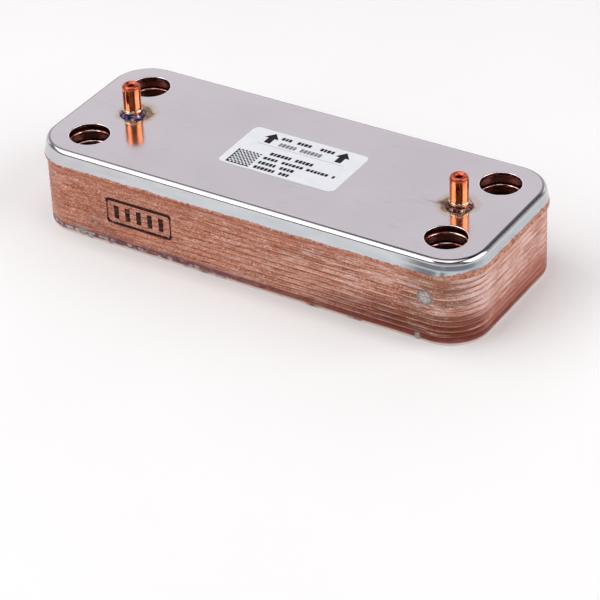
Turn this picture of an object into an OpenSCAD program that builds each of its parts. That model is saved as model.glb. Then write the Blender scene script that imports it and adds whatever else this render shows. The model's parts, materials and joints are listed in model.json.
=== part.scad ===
// Compact brazed plate heat exchanger for the hot tap water of a combination boiler.
// Millimetres. +X along the length, +Z up out of the port face.
// The origin is at the bottom centre: the part stands on the back plate's rim at z = 0.
// Every sheet is a tray with its open side down, and each tray nests inside the one above it.

/* [Outline] */
// Length of the cover's outline at the end of its top bend
cover_l = 188; // [180:1:210]
// Width of the cover's outline at the end of its top bend
cover_w = 72; // [70:1:84]
// Corner radius of that outline, seen from above
corner_r = 15.5; // [14:0.5:18]

/* [Cover] */
// Sheet thickness of the cover plate
cover_t = 1.2; // [0.8:0.1:1.5]
// Outside bend radius between the cover's top and its skirt
cover_bend_r = 1.9; // [1.7:0.1:2.5]
// Height of the cover's skirt, from its top face to its lower edge
cover_skirt_h = 7; // [6:0.1:8]

/* [Channel plates] */
// Number of channel plates
plate_count = 12; // [8:1:20]
// Sheet thickness of a channel plate
plate_t = 0.4; // [0.3:0.05:0.5]
// Height from one plate to the next, which is also the height of the pressing
plate_pitch = 2.28; // [2.1:0.02:2.5]
// Free gap between two nested skirts, which capillary copper closes
skirt_gap = 0.03; // [0.02:0.01:0.08]
// Outside bend radius between a plate's lip and its skirt
plate_bend_r = 1.2; // [0.8:0.1:1.4]
// Distance from the reference outline in to the wall round the corrugated field
field_inset = 3.6; // [3.2:0.1:4]

/* [Corrugation] */
// Distance between neighbouring crests, measured across them
wave_l = 8; // [6.5:0.5:10]
// Width of the flat on top of each crest and under each trough
crest_flat = 1.2; // [0.8:0.1:1.6]
// Depth of each crest and trough inside the plate's lip and wall, filled by copper where two cross
crest_relief = 0.02; // [0.01:0.01:0.05]
// Angle between the crests and the long axis
chevron_angle = 62; // [50:1:70]

/* [Back plate] */
// Sheet thickness of the back plate
back_t = 1; // [0.8:0.1:1.2]
// Height of the back plate's face above the surface that its rim stands on
back_rim_h = 6.9; // [6:0.1:8]

/* [Ports] */
// Distance between port centres along the length
port_span_l = 154; // [148:1:156]
// Distance between port centres across the width
port_span_w = 41; // [40:1:42]
// Diameter of the four port holes in the cover
port_d = 15.7; // [14:0.1:15.8]
// Diameter of the port holes in the channel plates
plate_port_d = 16.1; // [16:0.1:17]
// Outside diameter of the flat seat round each port of a channel plate
seat_flat_d = 20; // [19:0.5:20.5]
// Radial run of the sloping wall round each seat
seat_run = 1.2; // [0.8:0.1:1.2]

/* [Weld studs] */
// Distance between the two studs
stud_span = 142; // [138:1:146]
// Stud diameter
stud_d = 7; // [6:0.5:8]
// Stud height above the cover
stud_h = 13; // [12:0.5:20]
// Radius of the rounded shoulder at the stud's top
stud_shoulder_r = 1.1; // [0.6:0.1:1.1]
// Diameter of the blind hole that takes the fixing screw
stud_hole_d = 2.5; // [2:0.1:3.5]
// Depth of the blind hole
stud_hole_depth = 8.5; // [6:0.5:9]
// Outside diameter of the ring of weld flash
weld_d = 9.8; // [9.5:0.1:11]

/* [Label] */
// Length of the label
label_l = 50; // [30:0.5:60]
// Width of the label
label_w = 28; // [20:0.5:32]
// Thickness of the label
label_t = 0.15; // [0.1:0.05:0.3]

/* [Hidden] */
$fn = 96;
flare = asin((plate_t + skirt_gap) / plate_pitch);
half_l = cover_l / 2 - corner_r;
half_w = cover_w / 2 - corner_r;
crest_1_z = back_rim_h + plate_count * plate_pitch;
pack_h = crest_1_z + cover_t;
bend_end_z = pack_h - cover_bend_r;
cover_edge_z = pack_h - cover_skirt_h;
plate_skirt_h = crest_1_z - cover_edge_z + plate_pitch;
cover_lip_u = -5;
bend_steps = 6;
port_r = port_d / 2;
plate_port_r = plate_port_d / 2;
seat_r = seat_flat_d / 2;
washer_gap = 0.3;
fillet_w = 0.34;
fillet_h = 0.55;
cover_fillet_w = 0.95;
cover_fillet_h = 1.2;
bead_w = 0.12;
bead_h = 0.3;
stud_r = stud_d / 2;
foot_extra_r = 0.2;
foot_h = 1.6;
foot_bevel_h = 0.3;
dish_depth = 0.7;
dish_rim = 0.12;
weld_h = 1.3;
label_x = 1;
label_corner_r = 2.5;
cut = 1;

function two_digits(k) = str(k < 10 ? "0" : "", k);
function plate_name(k) = str("plate_", two_digits(k));
function braze_name(k) = str("braze_", two_digits(k));
PLATES = [1:plate_count];
SEAMS = [0:plate_count];

// ---- Nesting rules, which every skirt follows ----

// Top of channel plate k; the back plate counts as plate_count + 1
function crest_z(k) = crest_1_z - (k - 1) * plate_pitch;
// How far in from the cover's outer skirt line the skirt of sheet k lies
function inset(k) =
    k == 0 ? 0 : (cover_t + skirt_gap + (k - 1) * (plate_t + skirt_gap)) / cos(flare);
// Lower edge of sheet k, where sheet 0 is the cover
function edge_z(k) = k == 0 ? cover_edge_z : crest_z(k) - plate_skirt_h;
// Distance outside the reference outline of the outer skirt line of sheet k at height z
function skirt_u(k, z) = (bend_end_z - z) * tan(flare) - inset(k);

function arc(centre, r, a0, a1) = [
    for (i = [0:bend_steps])
        let (a = a0 + (a1 - a0) * i / bend_steps)
            centre + r * [cos(a), sin(a)]
];

// Bend and skirt of sheet k in section: down the outside and back up the inside
function skirt_section(k, top, edge, bend_r, t) =
    let (
        centre = [skirt_u(k, top - bend_r) - bend_r / cos(flare), top - bend_r],
        u = skirt_u(k, edge)
    )
    concat(
        arc(centre, bend_r, 90, flare),
        [[u, edge], [u - t / cos(flare), edge]],
        arc(centre, bend_r - t, flare, 90)
    );

// ---- Shared shapes ----

// Sweep a section round the rounded outline; its x is the distance outside the outline
module around_outline(section) {
    for (turn = [0, 180]) rotate(turn) {
        translate([0, half_w + corner_r, 0])
            rotate([90, 0, 90])
                linear_extrude(height = 2 * half_l, center = true)
                    polygon(section);
        translate([half_l + corner_r, 0, 0])
            rotate([90, 0, 0])
                linear_extrude(height = 2 * half_w, center = true)
                    polygon(section);
        for (side = [[half_w, 0], [-half_w, -90]])
            translate([half_l, side[0], 0])
                rotate(side[1])
                    rotate_extrude(angle = 90)
                        translate([corner_r, 0])
                            polygon(section);
    }
}

// Rounded rectangular slab from its half lengths to the corner centres
module slab(hx, hy, r, z0, z1) {
    translate([-hx - r, -hy, z0]) cube([2 * (hx + r), 2 * hy, z1 - z0]);
    translate([-hx, -hy - r, z0]) cube([2 * hx, 2 * (hy + r), z1 - z0]);
    for (sx = [-1, 1], sy = [-1, 1])
        translate([sx * hx, sy * hy, z0]) cylinder(r = r, h = z1 - z0);
}

module at_ports(sides) {
    for (sx = [-1, 1], sy = sides)
        translate([sx * port_span_l / 2, sy * port_span_w / 2, 0]) children();
}

// Plain tray for the cover and the back plate
module tray(k, top, edge, bend_r, t) {
    lip_end = [[cover_lip_u, top - t], [cover_lip_u, top]];
    around_outline(concat(skirt_section(k, top, edge, bend_r, t), lip_end));
    slab(half_l, half_w, corner_r + cover_lip_u, top - t, top);
}

// ---- Cover and back ----

module cover_plate() {
    color([0.78, 0.76, 0.78])
        difference() {
            tray(0, pack_h, cover_edge_z, cover_bend_r, cover_t);
            at_ports([-1, 1])
                translate([0, 0, crest_1_z - cut]) cylinder(r = port_r, h = cover_t + 2 * cut);
        }
}

module back_plate() {
    color([0.66, 0.52, 0.48])
        tray(plate_count + 1, back_rim_h, 0, cover_bend_r, back_t);
}

// ---- Channel plates ----

wave_slope = atan((plate_pitch - 2 * crest_relief - plate_t) / (wave_l / 2 - crest_flat));
inner_flat = crest_flat - 2 * plate_t * tan(wave_slope / 2);
wave_reach = half_l + corner_r + half_w + corner_r;
wave_n = ceil(wave_reach / wave_l);

// One wave of the sheet's upper and lower surface, as [distance, height]
wave_high = -crest_relief;
wave_low = crest_relief - plate_pitch;
function wave_top(n) = [
    [n * wave_l - crest_flat / 2, wave_high],
    [n * wave_l + crest_flat / 2, wave_high],
    [(n + 0.5) * wave_l - inner_flat / 2, wave_low + plate_t],
    [(n + 0.5) * wave_l + inner_flat / 2, wave_low + plate_t]
];
function wave_bottom(n) = [
    [(n + 0.5) * wave_l + crest_flat / 2, wave_low],
    [(n + 0.5) * wave_l - crest_flat / 2, wave_low],
    [n * wave_l + inner_flat / 2, wave_high - plate_t],
    [n * wave_l - inner_flat / 2, wave_high - plate_t]
];

// Corrugated sheet whose crests run at the chevron angle on one side of the centre line
module wave_half() {
    section = concat(
        [for (n = [-wave_n:wave_n]) each wave_top(n)],
        [for (n = [wave_n:-1:-wave_n]) each wave_bottom(n)]
    );
    intersection() {
        rotate(chevron_angle - 90)
            rotate([90, 0, 0])
                linear_extrude(height = 2 * wave_reach, center = true)
                    polygon(section);
        translate([-wave_reach, 0, -plate_pitch - cut])
            cube([2 * wave_reach, cover_w, plate_pitch + 2 * cut]);
    }
}

// Sloping wall and flat seat round a port; flip is 1 for a seat at crest height, -1 at trough height
module port_seat(flip) {
    wall_t = plate_t * 1.1;
    section = [
        [plate_port_r, 0],
        [seat_r, 0],
        [seat_r + seat_run, -plate_pitch],
        [seat_r + seat_run - wall_t, -plate_pitch],
        [seat_r - wall_t + seat_run * plate_t / plate_pitch, -plate_t],
        [plate_port_r, -plate_t]
    ];
    rotate_extrude()
        polygon([for (p = section) [p[0], flip > 0 ? p[1] : -plate_pitch - p[1]]]);
}

// What the seat's wall encloses, up to the middle of the wall
module seat_core(flip) {
    narrow = seat_r - plate_t / 2;
    wide = seat_r + seat_run - plate_t / 2;
    translate([0, 0, -plate_pitch])
        cylinder(r1 = flip > 0 ? wide : narrow, r2 = flip > 0 ? narrow : wide, h = plate_pitch);
}

// Corrugated field between the seats and the wall round it, with the plate's lip at z = 0
module pressed_field() {
    wall_u = -field_inset - plate_t / 2;
    difference() {
        intersection() {
            union() {
                wave_half();
                mirror([0, 1, 0]) wave_half();
            }
            slab(half_l, half_w, corner_r + wall_u, -plate_pitch, 0);
        }
        for (flip = [-1, 1])
            at_ports([flip]) seat_core(flip);
    }
    for (flip = [-1, 1])
        at_ports([flip]) port_seat(flip);
}

// Every channel plate is the same pressing, and every second one is turned half round
module channel_plate(k) {
    top = crest_z(k);
    field_wall = [
        [-field_inset, top - plate_t],
        [-field_inset, top - plate_pitch],
        [-field_inset - plate_t, top - plate_pitch],
        [-field_inset - plate_t, top]
    ];
    color([0.74, 0.53, 0.46])
        rotate(k % 2 == 0 ? 180 : 0) {
            around_outline(concat(skirt_section(k, top, edge_z(k), plate_bend_r, plate_t), field_wall));
            translate([0, 0, top]) pressed_field();
        }
}

// Washers that close the first gap round the two ports whose seats lie at trough height
module port_washers() {
    color([0.8, 0.6, 0.45])
        at_ports([-1])
            translate([0, 0, crest_1_z - plate_pitch + plate_t])
                difference() {
                    cylinder(r = seat_r - washer_gap, h = plate_pitch - plate_t);
                    translate([0, 0, -cut])
                        cylinder(r = plate_port_r + washer_gap, h = plate_pitch + cut);
                }
}

// ---- Copper between sheet k and the sheet below it ----

module braze_seam(k) {
    z = edge_z(k);
    width = k == 0 ? cover_fillet_w : fillet_w;
    height = k == 0 ? cover_fillet_h : fillet_h;
    low = k == plate_count ? 0 : -bead_h;
    color([0.80, 0.46, 0.30]) {
        around_outline([
            [skirt_u(k + 1, z), z],
            [skirt_u(k + 1, z - height), z - height],
            [skirt_u(k + 1, z) + width, z]
        ]);
        if (k > 0)
            at_ports([k % 2 == 0 ? 1 : -1])
                translate([0, 0, crest_z(k + 1)])
                    rotate_extrude()
                        polygon([
                            [plate_port_r, low],
                            [plate_port_r, bead_h],
                            [plate_port_r - bead_w, bead_h / 2],
                            [plate_port_r - bead_w, low / 2]
                        ]);
    }
}

// ---- Weld studs ----

module weld_stud() {
    dish_r = stud_r - stud_shoulder_r - dish_rim;
    hole_r = stud_hole_d / 2;
    section = concat(
        [[0, 0], [0, stud_h - stud_hole_depth - hole_r / 2], [hole_r, stud_h - stud_hole_depth]],
        [[hole_r, stud_h - dish_depth], [dish_r, stud_h]],
        arc([stud_r - stud_shoulder_r, stud_h - stud_shoulder_r], stud_shoulder_r, 90, 0),
        [[stud_r, foot_h + foot_bevel_h], [stud_r + foot_extra_r, foot_h]],
        [[stud_r + foot_extra_r, 0]]
    );
    color([0.80, 0.42, 0.22])
        translate([0, 0, pack_h]) rotate_extrude() polygon(section);
}

module weld_flash() {
    inner_r = stud_r + foot_extra_r;
    outer_r = weld_d / 2;
    mid_r = (inner_r + outer_r) / 2;
    section = [
        [inner_r, 0],
        [outer_r - 0.15, 0],
        [outer_r, 0.3 * weld_h],
        [outer_r - 0.25, 0.65 * weld_h],
        [mid_r, 0.92 * weld_h],
        [inner_r, weld_h]
    ];
    color([0.24, 0.22, 0.28])
        translate([0, 0, pack_h]) rotate_extrude() polygon(section);
}

module at_stud(side) {
    translate([side * stud_span / 2, 0, 0]) children();
}

// ---- Label ----

module label() {
    color([0.90, 0.91, 0.93])
        translate([label_x, 0, 0])
            slab(
                label_l / 2 - label_corner_r,
                label_w / 2 - label_corner_r,
                label_corner_r,
                pack_h,
                pack_h + label_t
            );
}

cover_plate();
port_washers();
back_plate();
for (k = PLATES)
    channel_plate(k);
for (k = SEAMS)
    braze_seam(k);
at_stud(-1) weld_stud();  // stud_left
at_stud(1) weld_stud();  // stud_right
at_stud(-1) weld_flash();  // stud_weld_left
at_stud(1) weld_flash();  // stud_weld_right
label();
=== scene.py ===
"""Looks of a compact brazed plate heat exchanger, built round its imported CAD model."""
import functools
import json
import math

import bmesh
import bpy
import numpy as np
from mathutils import Matrix, Vector, noise


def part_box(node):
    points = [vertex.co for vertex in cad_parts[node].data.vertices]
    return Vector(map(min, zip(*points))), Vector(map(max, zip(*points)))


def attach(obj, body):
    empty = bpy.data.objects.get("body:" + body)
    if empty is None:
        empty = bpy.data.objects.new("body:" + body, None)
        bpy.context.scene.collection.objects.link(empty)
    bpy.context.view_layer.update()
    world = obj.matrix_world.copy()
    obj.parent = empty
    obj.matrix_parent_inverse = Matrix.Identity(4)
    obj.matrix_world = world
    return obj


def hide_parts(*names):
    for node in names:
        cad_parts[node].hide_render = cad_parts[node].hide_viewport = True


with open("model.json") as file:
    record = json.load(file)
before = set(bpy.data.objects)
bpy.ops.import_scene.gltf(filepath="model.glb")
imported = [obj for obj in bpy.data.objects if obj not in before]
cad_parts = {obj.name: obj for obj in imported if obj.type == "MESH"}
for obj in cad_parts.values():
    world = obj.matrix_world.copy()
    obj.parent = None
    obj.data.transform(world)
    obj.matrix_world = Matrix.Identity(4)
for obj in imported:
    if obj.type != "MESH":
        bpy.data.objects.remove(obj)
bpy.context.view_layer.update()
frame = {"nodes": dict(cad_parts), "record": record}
nodes = frame["nodes"]
scene = bpy.context.scene

# ---------------------------------------------------------------- sizes, in metres
# The corners' centres stand HALF_L and HALF_W from the middle; the cover is sheet 0, the channel plates
# are sheets 1 to 12 from the top, and the back plate is the last sheet.
MM = 0.001
CORNER_R = 15.5 * MM
HALF_L = 78.5 * MM
HALF_W = 20.5 * MM
COVER_T = 1.2 * MM
PLATE_T = 0.4 * MM
SKIRT_GAP = 0.03 * MM
BACK_T = 1.0 * MM
BEND_R = 1.9 * MM
COVER_BEND = 2.1 * MM
PORT_R = 7.85 * MM
STUD_R = 3.5 * MM
STUD_BORE_R = 1.25 * MM
LABEL_CORNER = 2.5 * MM

lo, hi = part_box("cover_plate")
TOP, COVER_EDGE = hi.z, lo.z
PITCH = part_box("plate_01")[1].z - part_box("plate_02")[1].z
CREST_1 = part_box("plate_01")[1].z
PLATES = sum(1 for n in nodes if n.startswith("plate_"))
SEAMS = PLATES + 1
BACK_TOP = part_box("back_plate")[1].z
FLARE = math.asin((PLATE_T + SKIRT_GAP) / PITCH)
BEND_END = TOP - BEND_R
PLATE_SKIRT_H = CREST_1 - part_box("plate_01")[0].z
PORTS = [tuple(Vector(m["pos_m"]).xy) for m in frame["record"]["mounts"] if m["name"].startswith("port_")]
STUDS = {side: (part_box("stud_" + side)[0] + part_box("stud_" + side)[1]) / 2 for side in ("left", "right")}


def crest_z(k):
    """Height of the upper side of channel plate k."""
    return CREST_1 - (k - 1) * PITCH


def edge_z(k):
    """Height of the lower edge of sheet k's skirt."""
    return COVER_EDGE if k == 0 else crest_z(k) - PLATE_SKIRT_H


def skirt_u(k, z):
    """How far outside the reference outline the outer skirt of sheet k is at height z."""
    inset = 0 if k == 0 else (COVER_T + SKIRT_GAP + (k - 1) * (PLATE_T + SKIRT_GAP)) / math.cos(FLARE)
    return (BEND_END - z) * math.tan(FLARE) - inset


# ---------------------------------------------------------------- mesh helpers
def wobble(p, scale, seed=0.0):
    """Smooth noise from -1 to 1 at a point."""
    return noise.noise(Vector((p[0] * scale + seed, p[1] * scale - seed, p[2] * scale + 2 * seed)))


def outline(step=1.4 * MM, corner_steps=22):
    """Columns round the outline, anticlockwise from above: (base point, outward direction)."""
    out = []
    n_long, n_short = round(2 * HALF_L / step), round(2 * HALF_W / step)
    corners = ((HALF_L, HALF_W, 0), (-HALF_L, HALF_W, 90), (-HALF_L, -HALF_W, 180), (HALF_L, -HALF_W, 270))
    for i, (cx, cy, a0) in enumerate(corners):
        for j in range(corner_steps):
            a = math.radians(a0 + 90 * j / corner_steps)
            out.append((cx, cy, math.cos(a), math.sin(a)))
        nx, ny, _ = corners[(i + 1) % 4]
        a = math.radians(a0 + 90)
        n = n_long if i % 2 == 0 else n_short
        for j in range(n):
            t = j / n
            out.append((cx + (nx - cx) * t, cy + (ny - cy) * t, math.cos(a), math.sin(a)))
    return np.array(out)


OUTLINE = outline()


def ring_row(u, z):
    """One row of points round the outline; u and z are numbers or one number for each column."""
    r = CORNER_R + np.asarray(u) * np.ones(len(OUTLINE))
    co = np.empty((len(OUTLINE), 3))
    co[:, 0] = OUTLINE[:, 0] + OUTLINE[:, 2] * r
    co[:, 1] = OUTLINE[:, 1] + OUTLINE[:, 3] * r
    co[:, 2] = np.asarray(z) * np.ones(len(OUTLINE))
    return co


def spin_row(centre, r, z, count=72):
    """One row of points round a vertical axis."""
    a = np.arange(count) * 2 * math.pi / count
    return np.stack([centre[0] + r * np.cos(a), centre[1] + r * np.sin(a), z * np.ones(count)], 1)


class Build:
    """A mesh put together from strips of quads and flat fills."""

    def __init__(self):
        self.bm = bmesh.new()

    def row(self, points):
        return [self.bm.verts.new(p) for p in points]

    def strip(self, rows, loop=False, smooth=True):
        """Joins rows of vertices that go round a closed path; loop also joins the last row to the first."""
        pairs = list(zip(rows, rows[1:])) + ([(rows[-1], rows[0])] if loop else [])
        for a, b in pairs:
            for i in range(len(a)):
                j = (i + 1) % len(a)
                self.bm.faces.new((a[i], a[j], b[j], b[i])).smooth = smooth

    def cap(self, row, point):
        """Closes a row with a fan to one point."""
        v = self.bm.verts.new(point)
        for i in range(len(row)):
            self.bm.faces.new((row[i], row[(i + 1) % len(row)], v)).smooth = True

    def fill(self, outer, holes, up=True):
        """Flat face between an outer row and hole rows."""
        loops = [outer] + list(holes)
        edges = []
        for loop in loops:
            for i in range(len(loop)):
                a, b = loop[i], loop[(i + 1) % len(loop)]
                edges.append(self.bm.edges.get((a, b)) or self.bm.edges.new((a, b)))
        made = bmesh.ops.triangle_fill(self.bm, use_beauty=True, use_dissolve=False, edges=edges)
        for f in made["geom"]:
            if isinstance(f, bmesh.types.BMFace):
                f.smooth = False
                f.normal_update()
                if (f.normal.z > 0) != up:
                    f.normal_flip()

    def done(self, name, material, replaces=(), sharp=40):
        """Makes the piece, which rides on the part's one body."""
        mesh = bpy.data.meshes.new(name)
        bmesh.ops.recalc_face_normals(self.bm, faces=[f for f in self.bm.faces if f.smooth])
        self.bm.to_mesh(mesh)
        smooth = [f.smooth for f in self.bm.faces]
        self.bm.free()
        mesh.set_sharp_from_angle(angle=math.radians(sharp))
        mesh.polygons.foreach_set("use_smooth", smooth)
        o = bpy.data.objects.new(name, mesh)
        scene.collection.objects.link(o)
        mesh.materials.append(material)
        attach(o, "root")
        if replaces:
            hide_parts(*replaces)
        return o


# ---------------------------------------------------------------- material helpers
class Look:
    """A material's node tree, with short forms for the nodes it uses."""

    def __init__(self, name):
        self.mat = bpy.data.materials.new(name)
        self.mat.use_nodes = True
        self.tree = self.mat.node_tree
        self.tree.nodes.clear()
        out = self.tree.nodes.new("ShaderNodeOutputMaterial")
        self.shader = self.tree.nodes.new("ShaderNodeBsdfPrincipled")
        self.join(self.shader.outputs[0], out.inputs[0])
        self.where = self.node("ShaderNodeTexCoord").outputs["Object"]
        xyz = self.node("ShaderNodeSeparateXYZ")
        self.join(self.where, xyz.inputs[0])
        self.x, self.y, self.z = xyz.outputs

    def node(self, kind):
        return self.tree.nodes.new(kind)

    def join(self, a, b):
        self.tree.links.new(a, b)

    def feed(self, socket, value):
        """Links a socket to another one, or sets its fixed value."""
        if isinstance(value, bpy.types.NodeSocket):
            self.join(value, socket)
        else:
            socket.default_value = value

    def math(self, op, a, b=0.0, c=None):
        n = self.node("ShaderNodeMath")
        n.operation = op
        for socket, v in zip(n.inputs, (a, b, c)):
            if v is not None:
                self.feed(socket, v)
        return n.outputs[0]

    def times(self, *values):
        return functools.reduce(lambda a, b: self.math("MULTIPLY", a, b), values)

    def plus(self, *values):
        return functools.reduce(lambda a, b: self.math("ADD", a, b), values)

    def minus(self, a, b):
        return self.math("SUBTRACT", a, b)

    def linear(self, value, slope, offset):
        """value times slope, plus offset."""
        return self.math("MULTIPLY_ADD", value, slope, offset)

    def larger(self, a, b):
        return self.math("MAXIMUM", a, b)

    def gap(self, a, b):
        """How far apart two values are."""
        return self.math("ABSOLUTE", self.minus(a, b))

    def length(self, a, b):
        """Length of the vector (a, b)."""
        return self.math("SQRT", self.plus(self.times(a, a), self.times(b, b)))

    def step(self, value, low, high):
        """0 below low, 1 above high, smooth between; low may be above high."""
        n = self.node("ShaderNodeMapRange")
        n.interpolation_type, n.clamp = "SMOOTHSTEP", True
        flip = low > high
        for socket, v in zip(n.inputs, (value, min(low, high), max(low, high), float(flip), float(not flip))):
            self.feed(socket, v)
        return n.outputs[0]

    def scaled(self, scale, offset):
        """Object coordinates times one scale or one for each axis, plus an offset."""
        v = self.node("ShaderNodeVectorMath")
        v.operation = "MULTIPLY_ADD"
        self.join(self.where, v.inputs[0])
        v.inputs[1].default_value = scale if hasattr(scale, "__len__") else (scale,) * 3
        v.inputs[2].default_value = (offset,) * 3
        return v.outputs[0]

    def noise(self, scale, detail=4.0, rough=0.55, twist=0.0, offset=0.0):
        """Noise with its own scale along each axis, in cycles per metre."""
        n = self.node("ShaderNodeTexNoise")
        self.join(self.scaled(scale, offset), n.inputs["Vector"])
        for key, value in (("Scale", 1.0), ("Detail", detail), ("Roughness", rough), ("Distortion", twist)):
            n.inputs[key].default_value = value
        return n.outputs["Fac"]

    def cells(self, scale, offset=0.0):
        """Distance to the middle of the nearest of many random cells."""
        n = self.node("ShaderNodeTexVoronoi")
        self.join(self.scaled(scale, offset), n.inputs["Vector"])
        n.inputs["Scale"].default_value = 1.0
        return n.outputs["Distance"]

    def ramp(self, fac, *stops):
        """Colours in between the stops, which are (place, colour)."""
        n = self.node("ShaderNodeValToRGB")
        e = n.color_ramp.elements
        while len(e) < len(stops):
            e.new(0.5)
        for item, (at, colour) in zip(e, stops):
            item.position = at
            item.color = (*colour, 1)
        self.join(fac, n.inputs[0])
        return n.outputs[0]

    def mix(self, fac, a, b):
        """Colour a where fac is 0, b where it is 1."""
        n = self.node("ShaderNodeMix")
        n.data_type = "RGBA"
        self.feed(n.inputs[0], fac)
        for socket, v in ((n.inputs[6], a), (n.inputs[7], b)):
            self.feed(socket, v if isinstance(v, bpy.types.NodeSocket) else (*v, 1))
        return n.outputs[2]

    def blend(self, fac, a, b):
        """The same as mix, for single values."""
        n = self.node("ShaderNodeMix")
        for socket, v in zip(n.inputs[:4], (fac, None, a, b)):
            if v is not None:
                self.feed(socket, v)
        return n.outputs[0]

    def bump(self, *layers):
        """Bumps in turn: (height, distance in metres)."""
        last = None
        for height, distance in layers:
            n = self.node("ShaderNodeBump")
            n.inputs["Strength"].default_value = 1.0
            n.inputs["Distance"].default_value = distance
            self.join(height, n.inputs["Height"])
            if last:
                self.join(last, n.inputs["Normal"])
            last = n.outputs[0]
        self.join(last, self.shader.inputs["Normal"])

    def set(self, **values):
        """Sets the shader's inputs by name and gives back the finished material."""
        for key, value in values.items():
            self.feed(self.shader.inputs[key.replace("_", " ")], value)
        return self.mat

    def metal(self, base, rough):
        return self.set(Base_Color=base, Metallic=1.0, Roughness=rough)

    def from_axis(self, centre):
        """Distance from a vertical axis."""
        return self.length(self.minus(self.x, centre[0]), self.minus(self.y, centre[1]))

    def band(self, value, start, rise, fall, end):
        """0 outside start and end, 1 from rise to fall; all four may run downwards."""
        return self.times(self.step(value, start, rise), self.step(value, end, fall))


def near_ports(m, reach):
    """1 within reach of a port's axis, falling to 0 just outside it."""
    near = None
    for p in PORTS:
        d = m.step(m.from_axis(p), reach + 0.6 * MM, reach)
        near = d if near is None else m.larger(near, d)
    return near


# ---------------------------------------------------------------- the cover's look
def tinted(m, base, centre, shift):
    """Heat tint that welding a stud leaves on the sheet: dark brown close in, straw further out."""
    d = m.from_axis((centre[0] + shift[0] * MM, centre[1] + shift[1] * MM))
    d = m.plus(d, m.linear(m.noise(260, 3), 4.2 * MM, -2.1 * MM))
    straw = m.times(m.step(d, 9.4 * MM, 5.8 * MM), m.step(m.noise(150, 2, offset=4), 0.24, 0.52))
    base = m.mix(m.times(straw, 0.66), base, (0.50, 0.37, 0.17))
    browns = m.ramp(m.noise(420, 3, offset=6), (0.35, (0.08, 0.035, 0.035)), (0.65, (0.33, 0.19, 0.06)))
    return m.mix(m.times(m.step(d, 6.9 * MM, 5.6 * MM), 0.85), base, browns)


def smeared(m, base, centre):
    """Brown smear and a darker spot that the arc left on the right stud's left."""
    left = m.minus(centre.x, m.x)
    off = m.math("ABSOLUTE", m.plus(m.minus(m.y, centre.y), m.linear(left, 0.10, 0.2 * MM)))
    smear = m.times(m.step(off, 4.6 * MM, 0.6 * MM), m.band(left, 2 * MM, 5 * MM, 6 * MM, 21 * MM))
    smear = m.times(smear, m.step(m.noise((130, 480, 300), 4, offset=8), 0.34, 0.66))
    base = m.mix(m.times(smear, 0.5), base, (0.34, 0.25, 0.20))
    spot = m.times(m.step(off, 1.7 * MM, 0.5 * MM), m.band(left, 3 * MM, 5 * MM, 6.4 * MM, 9.4 * MM))
    return m.mix(m.times(spot, 0.8), base, (0.10, 0.055, 0.045))


def skirt_steel(m):
    """The cover's drawn skirt: greyer than the top, bluish and streaky at the right, with painted dark
    reflections in blotches at the corner.
    """
    clouds = m.noise((90, 90, 300), 4, offset=5)
    grey = m.ramp(clouds, (0.3, (0.535, 0.535, 0.56)), (0.7, (0.63, 0.63, 0.655)))
    cool = m.ramp(clouds, (0.3, (0.545, 0.575, 0.60)), (0.7, (0.63, 0.66, 0.685)))
    side = m.mix(m.step(m.x, -75 * MM, -10 * MM), grey, cool)
    drawn = m.step(m.noise((30, 30, 1300), 3, 0.6, offset=15), 0.50, 0.66)
    drawn = m.times(drawn, m.linear(m.step(m.x, 66 * MM, 86 * MM), 0.50, 0.12))
    side = m.mix(drawn, side, (0.27, 0.30, 0.34))
    side = m.mix(m.times(m.step(m.x, 82 * MM, 93 * MM), 0.45), side, (0.40, 0.45, 0.49))
    # painted dark reflections: blotches in an upper and a lower band on the front right corner
    corner = m.times(m.step(m.x, 64 * MM, 77 * MM), m.step(m.y, -22 * MM, -31 * MM))
    upper = m.band(m.z, TOP - 1.6 * MM, TOP - 2.1 * MM, TOP - 3.2 * MM, TOP - 4.2 * MM)
    upper = m.times(upper, m.step(m.noise((110, 110, 60), 2, offset=18), 0.22, 0.46))
    lower = m.step(m.z, COVER_EDGE + 3.4 * MM, COVER_EDGE + 2.4 * MM)
    lower = m.times(lower, m.step(m.noise((210, 210, 40), 3, offset=17), 0.32, 0.52))
    darkening = m.times(corner, m.larger(upper, lower))
    return m.mix(m.times(darkening, 0.88), side, (0.13, 0.135, 0.155))


def above_copper(m):
    """Height above the uneven line that copper reached on the skirt; it is higher on the right end."""
    teeth = m.linear(m.noise((1500, 1500, 420), 4, 0.7, 0.4), 2.1 * MM, -0.5 * MM)
    teeth = m.plus(teeth, m.times(m.noise(110, 2, offset=9), 0.8 * MM))
    teeth = m.plus(teeth, m.times(m.step(m.x, 80 * MM, 92 * MM), 1.2 * MM))
    return m.minus(m.minus(m.z, COVER_EDGE), teeth)


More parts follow.
